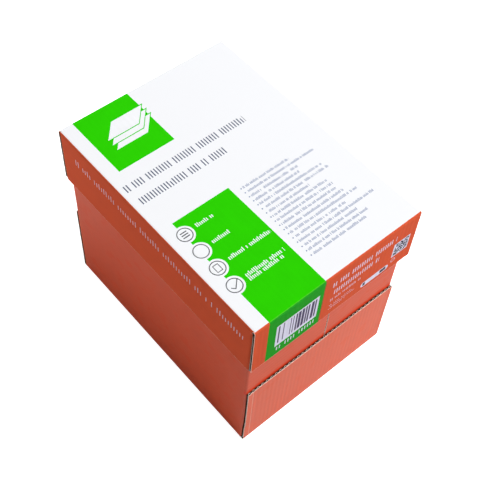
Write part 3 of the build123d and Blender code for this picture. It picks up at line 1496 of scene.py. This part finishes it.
@dataclass(frozen=True)
class LidPrint(PrintedBoard):
    """The lid's print: a white top with green fields and rows of strokes, on orange skirts.

    Places on the top are (x, y) from its middle, those on the near end skirt are
    (x, height), and those on the -X skirt are (-y, height).
    """

    roughness: float = 0.7
    gloss: float = 0.02
    orange: Colour = ink(217, 90, 56)
    white: Colour = ink(240, 241, 244)
    green: Colour = ink(42, 203, 0)
    # darker copy of the band's green for the near end skirt: painted shade
    painted_shade_green: Colour = ink(38, 160, 38)
    overprint: Colour = ink(122, 84, 70)  # where green lies on orange
    # lighter green of the painted highlight on the near fold
    fold_highlight_green: Colour = ink(100, 224, 40)
    slate: Colour = ink(68, 76, 106)
    light_slate: Colour = ink(108, 124, 166)
    charcoal: Colour = ink(70, 72, 80)
    pale: Colour = ink(226, 224, 242)
    bar_grey: Colour = ink(92, 86, 112)
    white_share: float = 0.25  # how far the top's white runs into the near and left folds
    far_white_share: float = 0.65  # the same for the far and right folds

    # ---- green fields on the top
    block: Patch = Patch(*mm(-95.4, -23.5, 73, 170))  # to past the far fold
    band: Lengths = mm(-94, -21.5)  # sides of the band
    band_start: float = -12.5 * MM
    fold_highlight_width: float = 0.7 * MM  # painted highlight: a bright line where the band goes over the near fold
    fold_highlight_share: float = 0.6  # how strong it is
    seam_line: float = 1.0 * MM  # overprinted line beside the band on the skirt
    seam_share: float = 0.7  # how strong it is
    stacked: Patch = Patch(*mm(-20, 20, 0, 20))  # one of the three sheets, before it leans
    stack_levels: Lengths = mm(98, 106, 114)  # near edges of the three
    stack_lean: float = -0.9
    stack_gap: float = 1.2 * MM

    # ---- rings in the band
    ring_x: float = -92.5 * MM
    ring_first: float = -31 * MM
    ring_pitch: float = 25.1 * MM
    ring_radius: float = 8.5 * MM
    ring_line: float = 1.0 * MM
    halo_radius: float = 10.8 * MM

    # ---- rows of strokes on the top and on the -X skirt
    title: Hatching = Hatching(
        left=-105 * MM, top=54.7 * MM, ends=mm(53, 10), height=9.2 * MM,
        row_pitch=21.4 * MM, stroke_pitch=3.5 * MM, stroke=1.25 * MM, short=0.2,
    )
    listed: Hatching = Hatching(
        left=-9.6 * MM, top=-20 * MM, height=3.3 * MM,
        ends=mm(53, 82, 54, 50, 76, 79, 46, 65, 68, 65, 69, 82, 60, 93, 64, 72, 63),
        row_pitch=6.55 * MM, stroke_pitch=1.2 * MM, stroke=0.6 * MM,
    )
    bullet: Patch = Patch(*mm(-12.7, -11.3, 1.1, 2.5))  # sides, and places below a row's top
    claims: Hatching = Hatching(
        left=-77 * MM, top=-26.6 * MM, ends=mm(-55, -56, -24, -28), height=4.8 * MM,
        row_pitch=ring_pitch, stroke_pitch=2.2 * MM, stroke=1.2 * MM, gaps=0.1,
    )
    second_line: Hatching = replace(claims, top=-107.2 * MM, ends=mm(-33), row_pitch=20 * MM)
    side_row: Hatching = Hatching(
        left=-130 * MM, top=231 * MM, ends=mm(144), height=9 * MM,
        row_pitch=30 * MM, stroke_pitch=4.2 * MM, stroke=1.1 * MM,
    )

    # ---- the near end skirt
    tall: Hatching = Hatching(
        left=-8.7 * MM, top=236 * MM, ends=mm(81, 58), height=8 * MM,
        row_pitch=15 * MM, stroke_pitch=3.3 * MM, stroke=1.25 * MM, short=0.2,
    )
    small: Hatching = Hatching(
        left=-8.7 * MM, top=207 * MM, ends=mm(34), height=4.6 * MM,
        row_pitch=12 * MM, stroke_pitch=2.2 * MM, stroke=0.8 * MM,
    )
    fine: Hatching = replace(
        small, top=195 * MM, ends=mm(24, 27, 20), height=1.8 * MM, row_pitch=3.4 * MM
    )
    under_bars: Hatching = replace(
        tall, left=-80 * MM, top=190 * MM, ends=mm(-29), height=6.4 * MM,
        stroke_pitch=3.8 * MM, stroke=1.4 * MM,
    )
    label: Patch = Patch(*mm(-83, -27, 193.5, 232.5))
    bars: Patch = Patch(*mm(-80, -30, 198, 230))
    bar_pitch: float = 1.15 * MM
    bar_gaps: float = 0.5  # share of bars left out
    pill_middle: Lengths = mm(58.5, 184.5)
    pill_radius: float = 4.2 * MM
    pill_half_line: float = 16.3 * MM  # half of the line between its two round ends' centres
    pill_ends: tuple[Patch, Patch] = (Patch(*mm(8, 17, -2.8, 2.8)), Patch(*mm(-17.5, -14, -2.8, 2.8)))
    code: Lengths = mm(81.7, 199.2)  # lower left corner of the square of cells
    code_cell: float = 1.15 * MM
    code_across: int = 18  # cells along one side
    code_margin: float = 1.5 * MM
    code_gaps: float = 0.42  # share of cells left out
    small_ring: Lengths = mm(85, 190)
    small_ring_radii: Lengths = mm(2.2, 3.4)
    faint: float = 0.6  # how strongly the small ring is inked
    side_faint: float = 0.8  # the same for the strokes on the -X skirt

    @property
    def top(self) -> Patch:
        """The top's own print, which runs some way into the folds round it.

        Returns:
            Its edges, as s from left to right and t from near to far.
        """
        lid = self.blank
        near, far = (lid.board.fold_run * share for share in (self.white_share, self.far_white_share))
        s, t = lid.crease_start, lid.end_start
        return Patch(-s - near, s + far, -t - near, t + far)

    def make(self) -> bpy.types.Material:
        """Write the material.

        Returns:
            The finished material.
        """
        nodes = PrintSheet("lid_print", self.orange)
        top = self.top.mask(nodes, nodes.s, nodes.t)
        nodes.lay(top, self.white)
        green = self.green_fields(nodes, top)
        self.sheet_stack(nodes)
        self.rings(nodes)
        self.words_on_top(nodes)
        self.end_label(nodes)
        self.side_line(nodes)
        self.worn_edges(nodes)
        return self.dress(nodes, inked=nodes.minus(1.0, nodes.without(top, green)))

    def green_fields(self, nodes: PrintSheet, top: Socket) -> Socket:
        """Lay down the block at the far edge and the band that runs over the near fold, with painted
        shade on the band's near end part and a painted highlight along the fold.

        Args:
            nodes: The print so far.
            top: The mask of the top's own print.

        Returns:
            The mask of the green on the top.
        """
        fold = self.top.low
        side = self.band[1]
        in_band = nodes.between(nodes.s, *self.band)
        on_end = nodes.below(nodes.t, fold)
        block = nodes.times(self.block.mask(nodes, nodes.s, nodes.t), top)
        green = nodes.either(block, nodes.times(in_band, nodes.between(nodes.t, fold, self.band_start)))
        # Painted highlight along the near fold.
        crease = nodes.between(nodes.t, fold - self.fold_highlight_width, fold)
        seam = nodes.between(nodes.s, side, side + self.seam_line)
        nodes.lay(green, self.green)
        # The band on the near end skirt gets the darker green: painted shade.
        nodes.lay(nodes.times(in_band, on_end), self.painted_shade_green)
        nodes.lay(nodes.times(in_band, crease, self.fold_highlight_share), self.fold_highlight_green)
        nodes.lay(nodes.times(seam, on_end, self.seam_share), self.overprint)
        return green

    def sheet_stack(self, nodes: PrintSheet) -> None:
        """Draw three sheets lying on each other in the block, each leaning to one side.

        Args:
            nodes: The print so far.
        """
        middle = (self.block.left + self.block.right) / 2
        for level in self.stack_levels:
            v = nodes.minus(nodes.t, level)
            u = nodes.minus(nodes.blend(v, self.stack_lean, nodes.s), middle)
            nodes.lay(self.stacked.grown(self.stack_gap).mask(nodes, u, v), self.green)
            nodes.lay(self.stacked.mask(nodes, u, v), self.white)

    def rings(self, nodes: PrintSheet) -> None:
        """Draw the white discs with their rings and simple marks, from the far one to the near.

        Args:
            nodes: The print so far.
        """
        for number, mark in enumerate(Mark):
            u = nodes.minus(nodes.s, self.ring_x)
            v = nodes.minus(nodes.t, self.ring_first - number * self.ring_pitch)
            away = nodes.distance(u, v)
            line = nodes.between(away, self.ring_radius - self.ring_line, self.ring_radius)
            nodes.lay(nodes.below(away, self.halo_radius), self.white)
            nodes.lay(nodes.either(line, mark.mask(nodes, u, v)), self.charcoal)

    def words_on_top(self, nodes: PrintSheet) -> None:
        """Lay down the title, the list with its bullets and the rows in the band.

        Args:
            nodes: The print so far.
        """
        title, listed, claims, second_line = (
            rows.mask(nodes, nodes.s, nodes.t)
            for rows in (self.title, self.listed, self.claims, self.second_line)
        )
        _, below_top, in_rows = self.listed.row(nodes, nodes.t)
        bullets = nodes.times(in_rows, self.bullet.mask(nodes, nodes.s, below_top))
        nodes.lay(title, self.slate)
        nodes.lay(nodes.either(listed, bullets), self.light_slate)
        nodes.lay(nodes.either(claims, second_line), self.white)

    def end_label(self, nodes: PrintSheet) -> None:
        """Lay down the near end skirt's bar label, rows of strokes, pill, square of cells and ring.

        Args:
            nodes: The print so far.
        """
        lid = self.blank
        s, height = nodes.s, nodes.plus(nodes.t, lid.end_edge + lid.base - lid.end_height)
        on_end = nodes.below(nodes.t, self.top.low)
        rows = (self.tall, self.small, self.fine, self.under_bars)
        pill, pill_ends = self.pill(nodes, height)
        square, cells = self.coded_square(nodes, height)
        from_ring = [nodes.minus(place, at) for place, at in zip((s, height), self.small_ring)]
        ring = nodes.between(nodes.distance(*from_ring), *self.small_ring_radii)
        pale = nodes.either(
            self.label.mask(nodes, s, height),
            *(row.mask(nodes, s, height) for row in rows),
            pill,
            square,
            nodes.times(ring, self.faint),
        )
        bar_chance = nodes.chance(nodes.whole(s, self.bar_pitch))
        bars = nodes.times(self.bars.mask(nodes, s, height), nodes.above(bar_chance, self.bar_gaps))
        nodes.lay(nodes.times(on_end, pale), self.pale)
        nodes.lay(nodes.times(on_end, bars), self.bar_grey)
        nodes.lay(nodes.times(on_end, nodes.either(pill_ends, cells)), self.charcoal)

    def pill(self, nodes: PrintSheet, height: Socket) -> tuple[Socket, Socket]:
        """Mark a lying pill, and the dark fields at its two ends.

        A place is in the pill when it lies within its radius of the line along its middle.

        Args:
            nodes: The print so far.
            height: Height on the near end skirt.

        Returns:
            The pill's mask and the dark fields' mask.
        """
        u = nodes.minus(nodes.s, self.pill_middle[0])
        v = nodes.minus(height, self.pill_middle[1])
        past_line = nodes.either(nodes.minus(nodes.size(u), self.pill_half_line), 0.0)
        pill = nodes.below(nodes.distance(past_line, v), self.pill_radius)
        return pill, nodes.either(*(end.mask(nodes, u, v) for end in self.pill_ends))

    def coded_square(self, nodes: PrintSheet, height: Socket) -> tuple[Socket, Socket]:
        """Mark a pale square, and the random dark cells in it, which code nothing.

        Args:
            nodes: The print so far.
            height: Height on the near end skirt.

        Returns:
            The square's mask and the cells' mask.
        """
        u = nodes.minus(nodes.s, self.code[0])
        v = nodes.minus(height, self.code[1])
        reach = self.code_across * self.code_cell
        all_cells = Patch(0.0, reach, 0.0, reach)
        square = all_cells.grown(self.code_margin).mask(nodes, u, v)
        luck = nodes.chance(nodes.whole(u, self.code_cell), nodes.whole(v, self.code_cell))
        return square, nodes.times(all_cells.mask(nodes, u, v), nodes.above(luck, self.code_gaps))

    def side_line(self, nodes: PrintSheet) -> None:
        """Lay down the one row of pale strokes along the -X skirt.

        Args:
            nodes: The print so far.
        """
        lid = self.blank
        height = nodes.plus(nodes.s, lid.wall_edge + lid.base - lid.wall_height)
        strokes = self.side_row.mask(nodes, nodes.times(nodes.t, -1.0), height)
        on_side = nodes.below(nodes.s, -lid.crease_start - lid.board.fold_run)
        nodes.lay(nodes.times(on_side, strokes, self.side_faint), self.pale)


# ------------------------------------------------------------------ studio
@dataclass(frozen=True)
class Lamp:
    """A soft square lamp that faces the carton."""

    name: str
    place: Triple
    side: float
    watts: float

    def build(self, target: Vector) -> None:
        """Hang the lamp.

        Args:
            target: The point it faces.
        """
        data = bpy.data.lights.new(self.name, "AREA")
        data.size = self.side
        data.energy = self.watts
        lamp = put_in_scene(self.name, data)
        lamp.location = self.place
        lamp.rotation_euler = (target - Vector(self.place)).to_track_quat("-Z", "Y").to_euler()
        lamp.visible_camera = False


@dataclass(frozen=True)
class Studio:
    """A white table under soft lamps, and the camera."""

    aim: Triple = (0.0076, -0.0055, 0.126)
    distance: float = 1.0668
    azimuth: float = math.radians(-44.05)
    elevation: float = math.radians(54.71)
    roll: float = math.radians(4.31)
    focal_length: float = 69.9  # in millimetres, on a sensor 36 wide
    sensor: float = 36.0
    fill: float = 0.14  # light from all round
    glow: float = 0.93  # the table's own light, as the camera sees it
    table_half: float = 6.0
    table_dark: Colour = ink(226, 226, 228)
    table_light: Colour = ink(234, 234, 235)
    table_clouds: Triple = (3, 3, 3)  # lumps in a metre, along each axis
    white: Colour = (1.0, 1.0, 1.0, 1.0)
    lamps: tuple[Lamp, ...] = (
        Lamp("key_lamp", (2.2, -1.7, 5.15), 3.2, 356.0),
        Lamp("side_lamp", (-0.62, 0.72, 0.14), 0.4, 2.4),
        Lamp("front_lamp", (0.52, -0.42, 0.07), 0.25, 0.95),
        Lamp("back_lamp", (1.5, 1.9, 0.9), 1.2, 14.0),
    )

    def build(self) -> None:
        """Set up the table, lamps, surroundings and camera."""
        bpy.context.scene.view_settings.view_transform = "Standard"
        self.build_table()
        self.build_surroundings()
        for lamp in self.lamps:
            lamp.build(Vector(self.aim))
        self.build_camera()

    def build_camera(self) -> None:
        """Place the camera on its sphere round the aim and turn it about its own axis."""
        out = Vector((
            math.sin(self.azimuth) * math.cos(self.elevation),
            -math.cos(self.azimuth) * math.cos(self.elevation),
            math.sin(self.elevation),
        ))
        level_right = Vector((math.cos(self.azimuth), math.sin(self.azimuth), 0))
        level_up = out.cross(level_right)
        right = level_right * math.cos(self.roll) + level_up * math.sin(self.roll)
        up = out.cross(right)
        data = bpy.data.cameras.new("camera")
        data.lens = self.focal_length
        data.sensor_width = self.sensor
        camera = put_in_scene("camera", data)
        turned = Matrix((right, up, out)).transposed().to_4x4()
        camera.matrix_world = Matrix.Translation(Vector(self.aim) + out * self.distance) @ turned
        bpy.context.scene.camera = camera

    def build_surroundings(self) -> None:
        """Light the carton evenly from all round, and show plain white behind it."""
        world = bpy.data.worlds.new("studio")
        bpy.context.scene.world = world
        world.use_nodes = True
        tree = world.node_tree
        background = next(node for node in tree.nodes if node.type == "BACKGROUND")
        background.inputs["Color"].default_value = self.white
        path = tree.nodes.new("ShaderNodeLightPath")
        strength = tree.nodes.new("ShaderNodeMapRange")
        strength.inputs["To Min"].default_value = self.fill
        strength.inputs["To Max"].default_value = 1.0
        tree.links.new(path.outputs["Is Camera Ray"], strength.inputs[0])
        tree.links.new(strength.outputs[0], background.inputs["Strength"])

    def build_table(self) -> None:
        """Lay a white table that glows for the camera alone, so that shadows on it stay faint."""
        half = self.table_half
        mesh = bpy.data.meshes.new("table")
        corners = [(-half, -half, 0), (half, -half, 0), (half, half, 0), (-half, half, 0)]
        mesh.from_pydata(corners, [], [(0, 1, 2, 3)])
        nodes = NodeSheet("table_white")
        clouds = nodes.noise(nodes.object_place(), self.table_clouds, 2)
        shader = nodes.add("BsdfPrincipled")
        colour = nodes.mix(clouds, self.table_dark, self.table_light)
        nodes.feed(shader.inputs["Base Color"], colour)
        shader.inputs["Roughness"].default_value = 0.9
        shader.inputs["Specular IOR Level"].default_value = 0.0
        shader.inputs["Emission Color"].default_value = self.white
        seen = nodes.add("LightPath").outputs["Is Camera Ray"]
        nodes.feed(shader.inputs["Emission Strength"], nodes.times(seen, self.glow))
        mesh.materials.append(nodes.end_with(shader))
        table = put_in_scene("table", mesh)


# ------------------------------------------------------------------ the whole carton
class Carton:
    """The lid, the tray and the reams, each riding on its body."""

    def __init__(self) -> None:
        """Read the sizes and write the finishes that several pieces share."""
        self.lid = make_lid()
        self.tray = make_tray()
        liner = PlainPaper("kraft_liner", ink(190, 150, 108), ink(160, 120, 82), 0.85).make()
        # Fluting paper darker than its brown kraft: painted shade for the flute cavities and the board's
        # insides.
        shaded_fluting = PlainPaper("shaded_fluting_paper", ink(74, 54, 40), ink(48, 34, 24), 0.9).make()
        facing_cut = PlainPaper("facing_cut", ink(250, 240, 228), ink(222, 204, 186), 0.9).make()
        flute_cut = PlainPaper("fluting_cut", ink(240, 230, 218), ink(204, 190, 174), 0.9).make()
        self.plain_faces = [liner, shaded_fluting, facing_cut]
        self.fluting = [shaded_fluting, flute_cut]

    def add_lid(self) -> None:
        """Build and dress the lid."""
        finishes = [LidPrint(self.lid).make(), *self.plain_faces]
        board, waved = self.lid.build(finishes, self.fluting)
        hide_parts("lid")
        for piece in (board, waved):
            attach(piece, "lid")

    def add_tray(self) -> None:
        """Build and dress the tray."""
        finishes = [TrayPrint(self.tray).make(), *self.plain_faces]
        board, waved = self.tray.build(finishes, self.fluting)
        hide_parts("tray")
        for piece in (board, waved):
            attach(piece, "carton")

    def add_reams(self, nodes: Sequence[str]) -> None:
        """Build and dress the wrapped reams.

        Args:
            nodes: The reams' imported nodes, from the lowest up.
        """
        wrapper = WrapPaper().make()
        for number, node in enumerate(nodes):
            ream = Ream(node, seed=40 + 2 * number).build(wrapper)
            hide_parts(node)
            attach(ream, "carton")


def main() -> None:
    """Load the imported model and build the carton's looks and the studio round it."""
    logging.basicConfig(level=logging.INFO, format="%(name)s: %(message)s")
    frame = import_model()

    Studio().build()
    carton = Carton()
    carton.add_lid()
    carton.add_tray()
    carton.add_reams(sorted(node for node in frame["nodes"] if node.startswith("ream_")))


if __name__ == "__main__":
    main()
